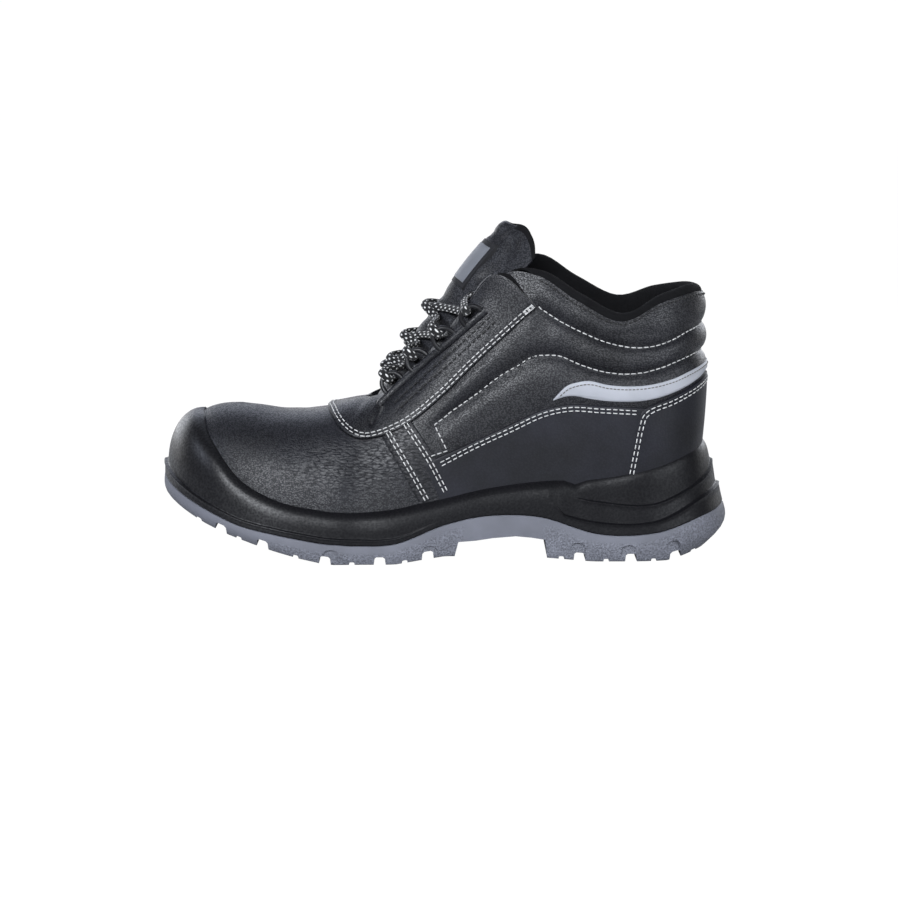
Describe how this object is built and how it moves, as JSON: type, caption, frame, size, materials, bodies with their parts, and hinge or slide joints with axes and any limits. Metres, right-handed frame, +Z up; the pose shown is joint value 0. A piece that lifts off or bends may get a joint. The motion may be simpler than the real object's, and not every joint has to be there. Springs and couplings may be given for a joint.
{
  "type": "high-top safety shoe",
  "caption": "High-top lace-up safety shoe for the left foot: black leather upper with a padded collar, moulded black midsole with a toe bumper, and a lugged grey outsole.",
  "frame": {"origin": "on the floor under the middle of the sole's length and width", "axes": "+X towards the toe, +Y towards the wearer's left, which is this shoe's outer side, +Z up"},
  "size_m": [0.3004, 0.113, 0.176],
  "materials": {
    "leather": "satin",
    "black_sole": "satin",
    "grey_sole": "matte",
    "lining": "matte",
    "reflective": "satin",
    "plastic": "satin",
    "lace": "matte"
  },
  "bodies": {
    "root": {"facing_inner": "leather", "facing_outer": "leather", "heel_counter": "leather", "insole": "lining", "lace": "lace", "lace_loop_inner_1": "plastic", "lace_loop_inner_2": "plastic", "lace_loop_inner_3": "plastic", "lace_loop_inner_4": "plastic", "lace_loop_outer_1": "plastic", "lace_loop_outer_2": "plastic", "lace_loop_outer_3": "plastic", "lace_loop_outer_4": "plastic", "midsole": "black_sole", "outsole": "grey_sole", "quarter_panel_inner": "leather", "quarter_panel_outer": "leather", "reflective_strip": "reflective", "tongue": "leather", "tongue_label": "reflective", "upper": "leather", "vamp_band_inner": "leather", "vamp_band_outer": "leather"}
  },
  "joints": []
}
